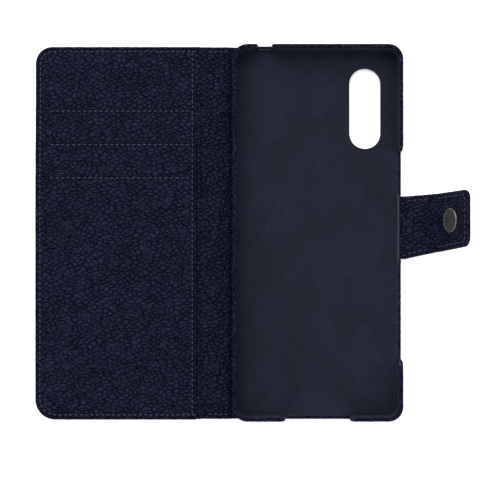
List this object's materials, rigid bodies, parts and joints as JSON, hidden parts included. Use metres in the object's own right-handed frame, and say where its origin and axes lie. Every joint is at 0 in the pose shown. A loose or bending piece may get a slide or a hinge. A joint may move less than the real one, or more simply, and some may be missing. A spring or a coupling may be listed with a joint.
{
  "type": "phone wallet case",
  "caption": "Leather book-style phone case with a gripping shell, a folding cover with card pockets, and a strap with a magnetic clasp.",
  "frame": {"origin": "centre of the shell's back face, which lies on the resting plane", "axes": "+X from the spine towards the clasp strap, +Y towards the top of the phone, +Z out of the shell"},
  "size_m": [0.1896, 0.1668, 0.0299],
  "materials": {
    "leather": "pebbled, semi-matt",
    "inner_leather": "pebbled, semi-matt",
    "tray_plastic": "matt",
    "microfibre": "short nap",
    "board": "matt",
    "thread": "twisted thread",
    "dark_metal": "satin gunmetal",
    "bright_metal": "polished",
    "steel": "satin"
  },
  "bodies": {
    "back": {"back_leather": "leather", "shell_tray": "tray_plastic", "shell_wrap": "leather", "shell_lining": "microfibre", "strap_tongue": "leather"},
    "spine": {"spine_leather": "leather", "spine_strip": "board", "spine_lining": "inner_leather", "spine_thread": "thread"},
    "cover": {"cover_leather": "leather", "cover_board": "board", "cover_lining": "inner_leather", "card_slot_back": "inner_leather", "card_slot_middle": "inner_leather", "card_slot_front": "inner_leather", "cover_edge_thread": "thread", "pocket_thread": "thread", "slot_thread_back": "thread", "slot_thread_middle": "thread", "slot_thread_front": "thread", "clasp_plate": "steel", "cover_stud": "bright_metal", "stud_washer": "steel"},
    "strap_side": {"strap_side_leather": "leather", "strap_side_lining": "leather", "strap_side_thread": "thread"},
    "strap_tab": {"tab_leather": "leather", "tab_lining": "leather", "tab_stiffener": "board", "tab_thread": "thread", "clasp_cap": "dark_metal", "clasp_magnet": "steel", "clasp_washer": "steel"}
  },
  "joints": [
    {"name": "spine_fold", "type": "hinge", "parent": "back", "child": "spine", "pos_m": [-0.0387, 0, 0.0008], "axis": [0, 1, 0], "range_deg": [0, 90]},
    {"name": "cover_fold", "type": "hinge", "parent": "spine", "child": "cover", "pos_m": [-0.0513, 0, 0.0008], "axis": [0, 1, 0], "range_deg": [0, 90]},
    {"name": "strap_fold", "type": "hinge", "parent": "back", "child": "strap_side", "pos_m": [0.03955, 0, 0.00125], "axis": [0, -1, 0], "range_deg": [-18, 72], "stiffness_Nm_per_rad": 0.03},
    {"name": "tab_fold", "type": "hinge", "parent": "strap_side", "child": "strap_tab", "pos_m": [0.05315, 0, 0.00567], "axis": [0, -1, 0], "range_deg": [-50, 40], "stiffness_Nm_per_rad": 0.02}
  ]
}
